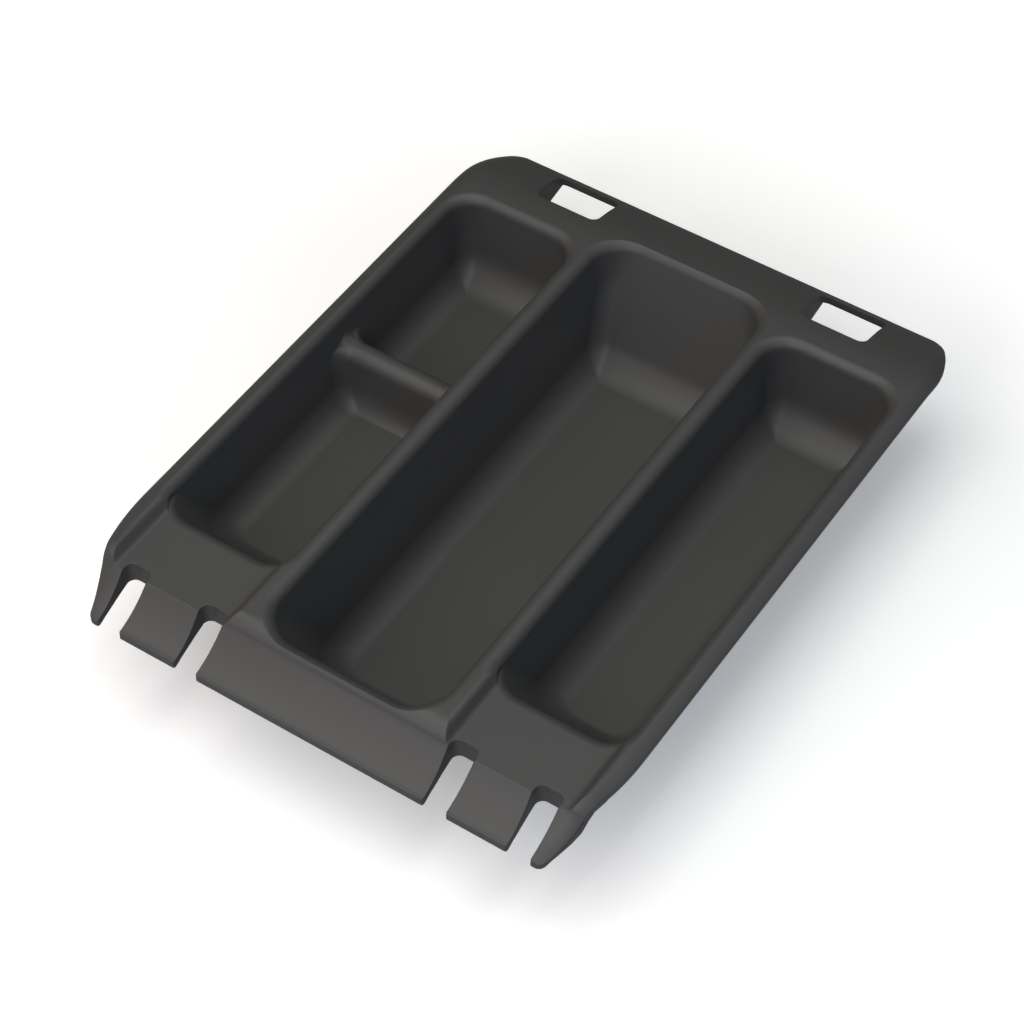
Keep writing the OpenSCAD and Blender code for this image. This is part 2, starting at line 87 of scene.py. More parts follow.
def tan_deg(angle: float) -> float:
    """Tangent of an angle in degrees."""
    return math.tan(math.radians(angle))


def arc(centre: Flat, radius: float, start: float, end: float, steps: int) -> list[Flat]:
    """Points of an arc.

    Args:
        centre: Middle of the arc.
        radius: Radius of the arc.
        start: First angle in degrees.
        end: Last angle in degrees.
        steps: Number of chords.

    Returns:
        The arc's points, both ends included.
    """
    angles = [math.radians(start + (end - start) * i / steps) for i in range(steps + 1)]
    return [(centre[0] + radius * math.cos(a), centre[1] + radius * math.sin(a)) for a in angles]


def lookup(value: float, table: Sequence[Flat]) -> float:
    """Straight interpolation in a table of (key, value) pairs that rises with its key."""
    if value <= table[0][0]:
        return table[0][1]
    for (x0, y0), (x1, y1) in zip(table, table[1:]):
        if value <= x1:
            return y0 + (y1 - y0) * (value - x0) / (x1 - x0)
    return table[-1][1]


def quarter(steps: int) -> list[float]:
    """Angles of a quarter turn in radians, both ends included."""
    return [math.pi / 2 * i / steps for i in range(steps + 1)]


def fillet_in(radius: float, up: float) -> float:
    """How far a fillet has moved a wall in at a height above the floor."""
    below = min(radius, max(0.0, radius - up))
    return radius - math.sqrt(radius * radius - below * below)


def rectangle(a0: float, a1: float, b0: float, b1: float) -> list[Flat]:
    """Corners of a rectangle between two places on each axis."""
    return [(a0, b0), (a1, b0), (a1, b1), (a0, b1)]


def show(name: str, data: bpy.types.ID) -> Piece:
    """Makes an object of a mesh, a lamp or a camera and links it to the scene."""
    made = bpy.data.objects.new(name, data)
    bpy.context.scene.collection.objects.link(made)
    return made


def bake(piece: Piece) -> None:
    """Turns the result of a piece's modifiers into its plain mesh, under the same name."""
    graph = bpy.context.evaluated_depsgraph_get()
    mesh = bpy.data.meshes.new_from_object(piece.evaluated_get(graph))
    old, name = piece.data, piece.data.name
    piece.modifiers.clear()
    piece.data = mesh
    bpy.data.meshes.remove(old)
    mesh.name = name


def smooth(piece: Piece, angle: float) -> None:
    """Shades a piece smooth, with creases where its faces turn by more than an angle in degrees."""
    piece.data.shade_smooth()
    piece.data.set_sharp_from_angle(angle=math.radians(angle))
    piece.modifiers.new("Weigh", "WEIGHTED_NORMAL").keep_sharp = True
    bake(piece)


class Solid:
    """A closed mesh in millimetres that can be joined with others, cut and crossed."""

    def __init__(self, rings: Sequence[Ring]) -> None:
        """Skins a solid over a stack of rings.

        Args:
            rings: Rings with the same number of points, which close up as one tube.
        """
        count = len(rings[0])
        top = (len(rings) - 1) * count
        faces = [list(range(count - 1, -1, -1)), list(range(top, top + count))]
        for k in range(len(rings) - 1):
            for i in range(count):
                a, b = k * count + i, k * count + (i + 1) % count
                faces.append([a, b, b + count, a + count])
        mesh = bpy.data.meshes.new("solid")
        mesh.from_pydata([p for ring in rings for p in ring], [], faces)
        work = bmesh.new()
        work.from_mesh(mesh)
        bmesh.ops.recalc_face_normals(work, faces=work.faces)
        work.to_mesh(mesh)
        work.free()
        self.body = show("solid", mesh)

    def combine(self, how: Combine, others: Sequence[Solid]) -> Solid:
        """Joins, cuts or crosses this solid with others, which are used up.

        Args:
            how: What to do with each other solid.
            others: The other solids.

        Returns:
            This solid, changed.
        """
        for other in others:
            step = self.body.modifiers.new("Combine", "BOOLEAN")
            step.operation = how.value
            step.solver = "MANIFOLD"
            step.object = other.body
        bake(self.body)
        for other in others:
            mesh = other.body.data
            bpy.data.objects.remove(other.body)
            bpy.data.meshes.remove(mesh)
        return self


def across(profile: Sequence[Flat], low: float, high: float) -> Solid:
    """Extrudes a profile in Y and Z along X, between two places."""
    return Solid([[(x, y, z) for y, z in profile] for x in (low, high)])


def along(profile: Sequence[Flat], low: float, high: float) -> Solid:
    """Extrudes a profile in X and Z along Y, between two places."""
    return Solid([[(x, y, z) for x, z in profile] for y in (low, high)])


def upright(plan: Sequence[Flat], low: float, high: float) -> Solid:
    """Extrudes a plan in X and Y upwards, between two heights."""
    return Solid([[(x, y, z) for x, y in plan] for z in (low, high)])


def round_plan(x0: float, x1: float, y0: float, y1: float, r_front: float, r_rear: float,
               steps: int) -> list[Flat]:
    """Rectangle in plan with round corners.

    Args:
        x0, x1: Left and right edge.
        y0, y1: Front and rear edge.
        r_front, r_rear: Radius of the front corners and of the rear ones.
        steps: Chords to a corner.

    Returns:
        The plan's points, round the rectangle.
    """
    plan: list[Flat] = []
    for x, y, start, r in ((x1 - r_rear, y1 - r_rear, 0, r_rear), (x0 + r_rear, y1 - r_rear, 90, r_rear),
                           (x0 + r_front, y0 + r_front, 180, r_front),
                           (x1 - r_front, y0 + r_front, 270, r_front)):
        plan += arc((x, y), r, start, start + 90, steps)
    return plan


@dataclass(frozen=True)
class Pocket:
    """One pocket: its ends at the top of the walls, the walls' slopes, its corners and its fillets.

    A foot is the share of the floor's fillet that a wall gets along the tray.
    """

    x0: float
    x1: float
    y0: float
    y1: float
    slope_x0: float
    slope_x1: float
    slope_y0: float
    slope_y1: float
    front_corner: float
    rear_corner: float
    front_foot: float = 1.0
    rear_foot: float = 1.0
    rear_fillet: float = 0.0


@dataclass
class TrayMoulding:
    """The one-piece moulding: rims, ribs, flange, skirt and three pockets.

    Sizes are in millimetres. The depths are below the front platforms, and the
    distances along the tray are from its middle.
    """

    width: float = 229.0
    length: float = 301.0
    wall: float = 2.6
    crest_height: float = 5.0
    foot_height: float = 1.6

    centre_depth: float = 52.5
    centre_width: float = 78.4
    centre_rear: float = 123.2
    centre_front: float = 128.9
    centre_rear_slope: float = 19.2
    centre_front_slope: float = 27.0
    centre_foot: float = 0.55
    centre_corner: float = 15.0

    side_depth: float = 40.0
    side_rear: float = 109.2
    side_front: float = 103.4
    side_front_slope: float = 32.5
    side_foot: float = 0.42
    side_corner: float = 12.0
    side_rear_fillet: float = 15.0
    low_corner: float = 8.0
    corner_run: float = 16.0
    platform_round: float = 6.0
    rib_width: float = 8.4
    rim_width: float = 8.3

    divider_y: float = 22.0
    divider_thickness: float = 10.8
    divider_drop: float = 10.5
    divider_foot: float = 6.0
    divider_blend: float = 5.0
    divider_corner: float = 7.0
    divider_flare: float = 9.5
    wing_lead: float = 1.0
    wing_in: float = 0.3
    groove_end: float = 1.0

    draft: float = 4.2
    left_draft: float = 2.3
    right_slope: float = 9.5
    rear_draft: float = 1.5
    floor_fillet: float = 11.4

    skirt_run: float = 18.1
    skirt_drop: float = 15.6
    skirt_sag: float = 1.8
    lip_height: float = 3.6
    lip_back: float = 1.3
    lip_round: float = 0.8
    lip_corner: float = 0.9
    lip_turns: tuple[int, ...] = (0, 20, 40, 60, 78)
    fall_radius: float = 9.0
    mouth_foot: float = 0.95
    mouth_turn: float = 0.42
    mouth_sink_share: float = 0.48
    mouth_shell_sink: float = 1.6
    shell_drop: float = 1.82

    notch_width: float = 11.6
    notch_reach: float = 5.1
    notch_radius: float = 3.4
    notch_gap: float = 3.7
    notch_draft: float = 3.0
    notch_depth: float = 8.8
    notch_wall: float = 2.4
    collar_lap: float = 0.8
    flank_run: float = 3.1
    flank_foot: float = 2.6
    flank_brow: float = 3.0
    brow_rest: float = 2.0
    recess_lap: float = 0.4
    foot_lap: float = 0.1
    brow_lap: float = 0.3
    prong_lap: float = 1.0

    prong_width: float = 15.0
    prong_radius: float = 110.0
    prong_sweep: float = 19.0
    prong_tip_width: float = 3.8
    prong_tip_radius: float = 2.4
    blade_run: float = 11.8
    blade_edge: tuple[Flat, ...] = ((-10.7, 2.2), (-4.7, 4.2), (-0.1, 7.0), (2.7, 11.4), (5.7, 14.6))
    blade_knee: Flat = (-8.0, 4.6)
    blade_crowding: float = 1.5
    blade_lap: float = 0.4
    collar_belly: tuple[Flat, ...] = ((1.3, 0.4), (-4.7, 2.2), (-10.7, 4.4))

    rim_round_width: float = 7.0
    rim_edge_drop: float = 2.4
    rim_crowding: float = 1.4
    rim_gap: float = 1.0
    under_gap: float = 3.0
    under_in: float = 1.2
    skirt_fade: float = 0.6

    rear_droop: float = 9.5
    droop_run: float = 38.5
    droop_lead: float = 4.0
    slot_length: float = 30.8
    slot_width: float = 21.8
    slot_x: float = 64.9
    slot_strip: float = 2.8
    slot_depth: float = 4.0
    slot_wall: float = 2.4
    slot_radius: float = 3.6
    cheek_depth: float = 16.0
    cheek_lead: float = 6.0
    rear_corner: float = 8.5
    sweep_radius: float = 43.0
    sweep_angle: float = 34.0

    corner_steps: int = 18
    fillet_steps: int = 16
    curve_steps: int = 16
    wall_steps: int = 14
    plan_steps: int = 12
    crest_steps: int = 10
    flank_steps: int = 8
    wing_steps: int = 6
    lead_steps: int = 5
    least_corner: float = 1.0
    ring_gap: float = 0.5
    past: float = 3.0
    overlap: float = 0.02
    weld: float = 0.01
    crease: float = 28.0

    def __post_init__(self) -> None:
        """Works out the heights and places that the sizes above give."""
        self.half_w = self.width / 2
        self.half_l = self.length / 2
        self.platform_z = self.foot_height + self.wall + self.centre_depth
        self.crest_z = self.platform_z + self.crest_height
        self.under_z = self.platform_z - self.wall
        self.centre_floor_z = self.platform_z - self.centre_depth
        self.side_floor_z = self.platform_z - self.side_depth
        self.divider_z = self.platform_z - self.divider_drop
        self.lip_z = self.platform_z - self.skirt_drop
        self.lip_top_z = self.lip_z + self.lip_height
        self.rib_in = self.centre_width / 2
        self.side_in = self.rib_in + self.rib_width
        self.side_out = self.half_w - self.rim_width
        self.crest_r = self.rib_width / 2
        self.bend_y = -self.half_l + self.skirt_run
        self.fall_sweep = math.acos((self.fall_radius - self.crest_height) / self.fall_radius)
        self.fall_y = self.bend_y + self.fall_radius * math.sin(self.fall_sweep)
        self.mouth_sink = self.mouth_sink_share * self.crest_height
        self.flank_angle = math.atan2(self.crest_height, self.flank_run)
        self.notch_end_y = self.bend_y + self.notch_reach
        self.notch_in = self.side_in + self.notch_gap + self.notch_width / 2
        self.prong_in = self.half_w - self.prong_width
        self.notch_out = self.prong_in - self.notch_width / 2
        sweep = math.radians(self.prong_sweep)
        self.prong_x = self.half_w - self.prong_radius
        self.prong_line_x = self.prong_x + self.prong_radius * math.cos(sweep)
        tip_run = self.prong_line_x - self.prong_in - self.prong_tip_width
        self.prong_line_y = -self.half_l + tip_run / math.tan(sweep)
        self.prong_start_y = self.prong_line_y + self.prong_radius * math.sin(sweep)
        self.rim_r = (self.rim_round_width ** 2 + self.rim_edge_drop ** 2) / (2 * self.rim_edge_drop)
        self.droop_start_y = self.half_l - self.droop_run
        self.droop_r = (self.droop_run ** 2 + self.rear_droop ** 2) / (2 * self.rear_droop)
        self.slot_y = self.half_l - self.slot_strip - self.slot_width / 2
        turn = math.radians(self.sweep_angle)
        self.sweep_end_y = self.half_l - self.rear_corner * (1 - math.sin(turn))
        self.sweep_start_y = self.sweep_end_y - self.sweep_radius * math.sin(turn)
        self.corner_x = (self.half_w - self.sweep_radius * (1 - math.cos(turn))
                         - self.rear_corner * math.cos(turn))
        self.corner_y = self.half_l - self.rear_corner
        self.skirt_line = self.skirt_profile()
        self.front_line = self.front_profile()
        self.centre = Pocket(-self.rib_in, self.rib_in, -self.centre_front, self.centre_rear,
                             self.draft, self.draft, self.centre_front_slope, self.centre_rear_slope,
                             self.centre_corner, self.centre_corner, self.centre_foot)
        self.right = self.side_pocket(self.side_in, self.side_out, self.draft, self.right_slope)
        self.left = self.side_pocket(-self.side_out, -self.side_in, self.left_draft, self.draft)

    def side_pocket(self, x0: float, x1: float, slope_x0: float, slope_x1: float) -> Pocket:
        """A pocket beside the centre one, between two walls with their own slopes."""
        return Pocket(x0, x1, -self.side_front, self.side_rear, slope_x0, slope_x1, self.side_front_slope,
                      self.rear_draft, self.side_corner, self.side_corner, self.side_foot,
                      rear_fillet=self.side_rear_fillet)

    def lean(self, slope: float, z: float) -> float:
        """How far a wall has come in at a height, for a wall that starts at the crest."""
        return tan_deg(slope) * max(0.0, self.crest_z - z)

    def pocket_ring(self, p: Pocket, z: float, inset: float, grow: float, sink: float = 0.0) -> Ring:
        """Ring of a pocket at one height.

        Args:
            p: The pocket.
            z: Height of the ring.
            inset: How far the floor's fillet, or the crest's rounding, moves the walls in.
            grow: How far the ring stands outside the pocket.
            sink: How much lower the ring lies along the pocket's front edge.

        Returns:
            The ring's points.
        """
        down = min(1.0, max(0.0, (self.crest_z - self.crest_r - z) / self.corner_run))
        rear_corner = p.rear_corner + (min(p.rear_corner, self.low_corner) - p.rear_corner) * down
        front_in, rear_in = inset * p.front_foot, inset * p.rear_foot
        plan = round_plan(
            p.x0 + self.lean(p.slope_x0, z) + inset - grow,
            p.x1 - self.lean(p.slope_x1, z) - inset + grow,
            p.y0 + self.lean(p.slope_y0, z - sink) + front_in - grow,
            p.y1 - self.lean(p.slope_y1, z) - rear_in - self.rear_rise(p, z, grow) + grow,
            max(self.least_corner, p.front_corner - front_in + grow),
            max(self.least_corner, rear_corner - rear_in + grow),
            self.corner_steps)
        return [(x, y, z - sink * share) for (x, y), share in zip(plan, self.mouth_shares())]

    def rear_rise(self, p: Pocket, z: float, grow: float) -> float:
        """How much further a side pocket's larger rear fillet moves its wall in than the common one.

        Args:
            p: The pocket.
            z: Height of the ring.
            grow: How far the ring stands outside the pocket.

        Returns:
            The distance, or 0 where the pocket has no such fillet.
        """
        if not p.rear_fillet:
            return 0.0
        up = z - self.side_floor_z + grow
        return fillet_in(p.rear_fillet + grow, up) - fillet_in(self.floor_fillet + grow, up)

    def wall_levels(self, low: float) -> list[Flat]:
        """Heights of the rings on the walls between the crest's rounding and a floor's fillet."""
        high, steps = self.crest_z - self.crest_r, self.wall_steps
        return [(high + (low - high) * i / steps, 0.0) for i in range(1, steps)]

    def mouth_shares(self) -> list[float]:
        """Share of the mouth's sink at each point of a ring: all of it along the front edge."""
        shares = [0.0] * (2 * (self.corner_steps + 1))
        for i in range(self.corner_steps + 1):
            turn = min(1.0, max(0.0, (i / self.corner_steps - self.mouth_turn) / (1 - self.mouth_turn)))
            shares.append(turn * turn * (3 - 2 * turn))
        return shares + shares[:self.corner_steps:-1]

    def fillet_levels(self, floor_z: float, radius: float) -> list[Flat]:
        """Heights and insets of the fillet between walls and floor, from the top down."""
        return [(floor_z + radius * (1 - math.sin(a)), radius * (1 - math.cos(a)))
                for a in quarter(self.fillet_steps)]

    def crest_levels(self) -> list[Flat]:
        """Heights and insets of the rounding from the crest into a pocket, from the top down."""
        return [(self.crest_z - self.crest_r * (1 - math.cos(a)), -self.crest_r * (1 - math.sin(a)))
                for a in quarter(self.crest_steps)]

    def pocket_space(self, p: Pocket, floor_z: float, fillet: float, sink: float = 0.0) -> Solid:
        """Space inside a pocket, open at the top.

        Args:
            p: The pocket.
            floor_z: Height of its floor.
            fillet: Radius between walls and floor.
            sink: How much lower the rounding of its front edge lies.

        Returns:
            The space.
        """
        mouth = replace(p, front_foot=self.mouth_foot if sink else 1.0)
        rings = [self.pocket_ring(mouth, self.crest_z + self.past, -self.crest_r, 0)]
        rings += [self.pocket_ring(mouth, z, inset, 0, sink) for z, inset in self.crest_levels()]
        rings += [self.pocket_ring(p, z, inset, 0) for z, inset
                  in self.wall_levels(floor_z + fillet) + self.fillet_levels(floor_z, fillet)]
        return Solid(rings)

    def pocket_shell(self, p: Pocket, floor_z: float, sink: float = 0.0) -> Solid:
        """Outer shape of a pocket's shell, one wall outside its space and a little below the crest."""
        rings = [self.pocket_ring(p, self.crest_z - self.shell_drop, 0.0, self.wall, sink)]
        rings += [self.pocket_ring(p, z, inset, self.wall) for z, inset
                  in self.wall_levels(floor_z + self.floor_fillet)
                  + self.fillet_levels(floor_z - self.wall, self.floor_fillet + self.wall)]
        return Solid(rings)

    def compartment_ring(self, side: Compartment, z: float, inset: float, reach: float,
                         corner: float) -> Ring:
        """Ring of one compartment of the divided pocket.

        Args:
            side: Which compartment.
            z: Height of the ring.
            inset: How far the floor's fillet moves the walls in.
            reach: Distance from the divider's middle to this side's face.
            corner: Corner radius beside the divider.

        Returns:
            The ring's points.
        """
        foot = self.divider_foot / self.floor_fillet
        if side is Compartment.REAR:
            p = replace(self.left, y0=self.divider_y + reach, slope_y0=0, front_corner=corner,
                        front_foot=foot)
        else:
            p = replace(self.left, y1=self.divider_y - reach, slope_y1=0, rear_corner=corner, rear_foot=foot,
                        rear_fillet=0)
        return self.pocket_ring(p, z, inset, 0)

    def compartment(self, side: Compartment) -> Solid:
        """Space of one compartment, up to the divider's full round crest."""
        r = self.divider_thickness / 2
        rings = [self.compartment_ring(side, self.divider_z + self.divider_blend + self.wing_lead,
                                       self.wing_in, self.overlap, self.least_corner)]
        for i in range(self.wing_steps):
            share = i / self.wing_steps
            rings.append(self.compartment_ring(side, self.divider_z + self.divider_blend * (1 - share), 0,
                                               self.overlap, 1 + (self.divider_flare - 1) * share * share))
        for a in quarter(2 * self.crest_steps):
            corner = self.divider_flare + (self.divider_corner - self.divider_flare) * math.sin(a)
            rings.append(self.compartment_ring(side, self.divider_z - r * (1 - math.cos(a)), 0,
                                               self.overlap + r * math.sin(a), corner))
        low = self.side_floor_z + self.floor_fillet
        walls = [(z, inset) for z, inset in self.wall_levels(low) if z < self.divider_z - r - self.ring_gap]
        rings += [self.compartment_ring(side, z, inset, r, self.divider_corner)
                  for z, inset in walls + self.fillet_levels(self.side_floor_z, self.floor_fillet)]
        return Solid(rings)

    def divider_groove(self) -> Solid:
        """Groove that hollows the divider from below."""
        r = self.divider_thickness / 2 - self.wall
        top = self.divider_z - self.wall
        floor = self.side_floor_z - 2 * self.wall
        profile = [(self.divider_y + r, floor),
                   *arc((self.divider_y, top - r), r, 0, 180, 2 * self.plan_steps),
                   (self.divider_y - r, floor)]
        return across(profile, -self.side_out + self.groove_end, -self.side_in - self.groove_end)

    def skirt_profile(self) -> list[Flat]:
        """Hollow curve of the skirt in Y and Z, from the lip up to the bend."""
        y0, z0 = -self.half_l + self.lip_back, self.lip_top_z
        run, rise = self.bend_y - y0, self.platform_z - z0
        return [(y0 + run * t, z0 + rise * t - 4 * self.skirt_sag * t * (1 - t))
                for t in (i / self.curve_steps for i in range(self.curve_steps + 1))]

    def front_profile(self) -> list[Flat]:
        """Crest line of the front: the lip's edge, the skirt and the arc up to the crest."""
        lip = [(-self.half_l + self.lip_round * (1 - math.cos(a)),
                self.lip_top_z - self.lip_round * (1 - math.sin(a)))
               for a in (math.radians(v) for v in self.lip_turns)]
        steps = self.wall_steps
        fall = [(self.fall_y - self.fall_radius * math.sin(a),
                 self.crest_z - self.fall_radius * (1 - math.cos(a)))
                for a in (self.fall_sweep * (1 - i / steps) for i in range(1, steps + 1))]
        return [*lip, *self.skirt_line, *fall]

    def droop_z(self, y: float) -> float:
        """Top of the rear flange, as it droops from the crest."""
        run = max(0.0, y - self.droop_start_y)
        return self.crest_z - self.droop_r + math.sqrt(self.droop_r ** 2 - run ** 2)

    def plan_half(self, y: float) -> float:
        """Half of the tray's width at a place along it."""
        if y < self.prong_line_y:
            tip = max(0.0, self.prong_tip_radius - y - self.half_l)
            back = (self.prong_line_y - y) * tan_deg(self.prong_sweep)
            return (self.prong_line_x - back - self.prong_tip_radius
                    + math.sqrt(max(0.0, self.prong_tip_radius ** 2 - tip ** 2)))
        if y < self.prong_start_y:
            return self.prong_x + math.sqrt(self.prong_radius ** 2 - (y - self.prong_start_y) ** 2)
        if y > self.sweep_end_y:
            return self.corner_x + math.sqrt(max(0.0, self.rear_corner ** 2 - (y - self.corner_y) ** 2))
        if y > self.sweep_start_y:
            return (self.half_w - self.sweep_radius
                    + math.sqrt(self.sweep_radius ** 2 - (y - self.sweep_start_y) ** 2))
        return self.half_w

    def top_z(self, y: float) -> float:
        """Height of the crest at a place along the tray."""
        return lookup(y, self.front_line) if y < self.fall_y else self.droop_z(y)

    def flat_under_z(self, y: float) -> float:
        """Height of the deck's flat underside at a place along the tray."""
        if y < self.bend_y:
            thinner = (self.lip_height - self.wall) * (y + self.half_l) / self.skirt_run
            return lookup(y, self.skirt_line) - self.lip_height + thinner
        if y < self.droop_start_y:
            return lookup(y, [(self.droop_start_y - self.droop_lead, self.under_z),
                              (self.droop_start_y, self.crest_z - self.wall)])
        return self.droop_z(y) - self.wall

    def rim_fade(self, y: float) -> float:
        """How much of the rims' rounding is left: it fades out along both ends."""
        if y < self.bend_y:
            return 1 - self.skirt_fade * (self.bend_y - y) / self.skirt_run
        if y > self.sweep_start_y:
            share = (y - self.sweep_start_y) / (self.half_l - self.sweep_start_y)
            return math.sqrt(max(0.0, 1 - share * share))
        return 1.0

    def deck_ring(self, y: float) -> Ring:
        """Section of the deck, from its underside round the right rim and back on the left."""
        w, crest, fade, under = self.plan_half(y), self.top_z(y), self.rim_fade(y), self.flat_under_z(y)
        rim_under = under if y <= -self.half_l else max(under, crest - self.wall)
        edge_z = crest - fade * self.rim_edge_drop
        edge_under = edge_z - self.wall if y > 0 else max(under, edge_z - self.wall)
        right = [(min(self.side_out - self.under_in, w - self.under_gap), under),
                 (min(self.side_out + self.wall, w - self.rim_gap), rim_under), (w, edge_under)]
        for i in range(self.plan_steps + 1):
            share = (i / self.plan_steps) ** self.rim_crowding
            run = self.rim_round_width * (1 - share)
            drop = self.rim_r - math.sqrt(self.rim_r ** 2 - run ** 2)
            right.append((w - self.rim_round_width * share, crest - fade * drop))
        return [(x, y, z) for x, z in right] + [(-x, y, z) for x, z in reversed(right)]

    def deck(self) -> Solid:
        """Rims, ribs, flange and skirt as one rough deck, lofted from the lip to the rear edge."""
        steps, curve = self.plan_steps, self.curve_steps
        swing, turn = math.radians(self.prong_sweep), math.radians(self.sweep_angle)
        lead = self.sweep_start_y - self.droop_start_y
        ys = {y for y, _ in self.front_line} | {self.droop_start_y - self.droop_lead}
        ys |= {y for y in (self.prong_start_y - self.prong_radius * math.sin(swing * (1 - i / steps))
                           for i in range(steps + 1)) if y > self.fall_y + self.ring_gap}
        ys |= {self.droop_start_y + lead * i / self.lead_steps for i in range(self.lead_steps)}
        ys |= {self.sweep_start_y + self.sweep_radius * math.sin(turn * i / steps) for i in range(steps + 1)}
        ys |= {self.corner_y + self.rear_corner * math.sin(turn + (math.pi / 2 - turn) * i / curve)
               for i in range(1, curve + 1)}
        return Solid([self.deck_ring(y) for y in sorted({round(y, 3) for y in ys})])

    def flank(self, foot_x: float, brow_x: float) -> list[Flat]:
        """Section of a bead's flank: a fillet at its foot and a round brow at its crest.

        Args:
            foot_x: Where the straight flank would meet the platform.
            brow_x: Where it would meet the crest.

        Returns:
            Points in X and Z, from the foot up.
        """
        side = 1 if foot_x > brow_x else -1
        reach, rest = math.tan(self.flank_angle / 2), math.radians(self.brow_rest)
        shares = [i / self.flank_steps for i in range(self.flank_steps + 1)]
        up = [self.flank_angle * share for share in shares]
        over = [self.flank_angle * (1 - share) + rest * share for share in shares]
        foot = [(foot_x + side * self.flank_foot * (reach - math.sin(a)),
                 self.platform_z + self.flank_foot * (1 - math.cos(a))) for a in up]
        return foot + [(brow_x - side * self.flank_brow * (reach - math.sin(a)),
                        self.crest_z - self.flank_brow * (1 - math.cos(a))) for a in over]

    def platform_space(self, side: int) -> Solid:
        """Space over one front platform and its tab; side is 1 on the right and -1 on the left."""
        back_y = self.right.y0 + self.lean(self.side_front_slope, self.platform_z) + self.side_corner
        skim = self.overlap
        recess_out = self.side_out - self.flank_run + self.recess_lap
        rib = self.flank(self.side_in + self.flank_run, self.side_in)
        rim = self.flank(recess_out, recess_out + self.flank_run)
        out_y, low, high = -self.half_l - self.past, self.lip_z - 2 * self.past, self.crest_z + 2 * self.past
        profile = [(back_y, self.platform_z), (self.bend_y + skim, self.platform_z),
                   *[(y, z - skim) for y, z in reversed(self.skirt_line)], (out_y, self.lip_top_z - skim),
                   (out_y, self.crest_z + self.past), (back_y, self.crest_z + self.past)]
        inner, lap = self.prong_in - self.prong_lap, self.brow_lap
        ends = [(inner, low), (inner, self.platform_z - skim / 2),
                (rim[0][0] - self.foot_lap, self.platform_z - skim / 2), *rim, (rim[-1][0] + lap, high),
                (rib[-1][0] - lap, high), *reversed(rib), (rib[0][0], low)]
        return across(profile, -self.half_w, self.half_w).combine(
            Combine.KEEP, [along([(side * x, z) for x, z in ends], -self.half_l - 2 * self.past, 0)])

    def within(self, block: Solid, profile: Sequence[Flat]) -> Solid:
        """Keeps the part of a block that lies inside a profile in Y and Z."""
        return block.combine(Combine.KEEP, [across(profile, -self.half_w, self.half_w)])

    def platform_edge(self, p: Pocket) -> Solid:
        """Cutter that rounds the platform's edge into a side pocket."""
        r, turn = p.front_corner, math.radians(90 - p.slope_y0)
        start_y = p.y0 + self.lean(p.slope_y0, self.platform_z) - self.platform_round * math.tan(turn / 2)
        levels = [(self.platform_z + self.past, start_y)]
        for i in range(self.crest_steps + 1):
            a = turn * i / self.crest_steps
            levels.append((self.platform_z - self.platform_round * (1 - math.cos(a)),
                           start_y + self.platform_round * math.sin(a)))
        rings = []
        for z, y in levels:
            plan = round_plan(p.x0 + self.lean(p.slope_x0, z), p.x1 - self.lean(p.slope_x1, z),
                              y, p.y0 + 3 * r, r, r, self.corner_steps)
            rings.append([(x, py, z) for x, py in plan])
        return Solid(rings)

    def notch_block(self, x: float, grow: float) -> Solid:
        """Cutter for one notch, or with grow the outline of the wall turned down round it.

        Args:
            x: Middle of the notch.
            grow: How far the block stands outside the notch.

        Returns:
            The block, drafted so that it narrows downwards.
        """
        rings = []
        for z in (self.crest_z + self.past, self.lip_z - 2 * self.past):
            more = grow + (z - self.platform_z) * tan_deg(self.notch_draft)
            half, back, r = self.notch_width / 2 + more, self.notch_end_y + more, self.notch_radius + grow
            out_y, steps = -self.half_l - 4 * self.past, self.plan_steps
            plan = arc((x + half - r, back - r), r, 0, 90, steps)
            plan += arc((x - half + r, back - r), r, 90, 180, steps)
            if grow:
                plan += [(x - half, out_y), (x + half, out_y)]
            else:
                soft = self.lip_corner
                wide, lip_y = half + soft, -self.half_l + soft
                plan += arc((x - wide, lip_y), soft, 0, -90, steps // 2)
                plan += [(x - wide, out_y), (x + wide, out_y)]
                plan += arc((x + wide, lip_y), soft, -90, -180, steps // 2)
            rings.append([(px, py, z) for px, py in plan])
        return Solid(rings)

    def notch_collar(self, x: float) -> Solid:
        """Turned-down wall round one notch, deepest under the platform and level with the lip."""
        back = self.notch_end_y + self.notch_wall
        low = self.platform_z - self.notch_depth
        return self.within(self.notch_block(x, self.notch_wall), [
            (back, low), *[(self.bend_y + y, low - drop) for y, drop in self.collar_belly],
            (-self.half_l, self.lip_z), (-self.half_l, self.lip_z + self.collar_lap),
            *[(y, self.flat_under_z(y) + self.collar_lap) for y, _ in self.skirt_line],
            (back, self.under_z + self.collar_lap)])

    def prong_blade(self, side: int) -> Solid:
        """Blade that hangs from the outer edge of one prong; side is 1 right, -1 left."""
        back_y, steps = self.bend_y + self.blade_run, 2 * self.plan_steps
        ys = [-self.half_l + (back_y + self.half_l) * (i / steps) ** self.blade_crowding
              for i in range(steps + 1)]
        outer = [(side * (self.plan_half(y) - self.overlap), y) for y in ys]
        inner = [(side * (self.plan_half(y) - self.wall), y) for y in reversed(ys)]
        edge_z, (knee_y, knee_z) = self.rim_edge_drop + self.wall / 2, self.blade_knee
        return self.within(upright(outer + inner, self.lip_z - self.past, self.crest_z), [
            (-self.half_l, self.lip_z),
            *[(self.bend_y + y, self.lip_z + rise) for y, rise in self.blade_edge],
            (back_y, self.platform_z - self.blade_lap), (back_y, self.crest_z - edge_z),
            (self.fall_y, self.crest_z - edge_z), (self.bend_y, self.platform_z - edge_z),
            (self.bend_y + knee_y, self.lip_z + knee_z), (-self.half_l, self.lip_z + self.wall / 2)])

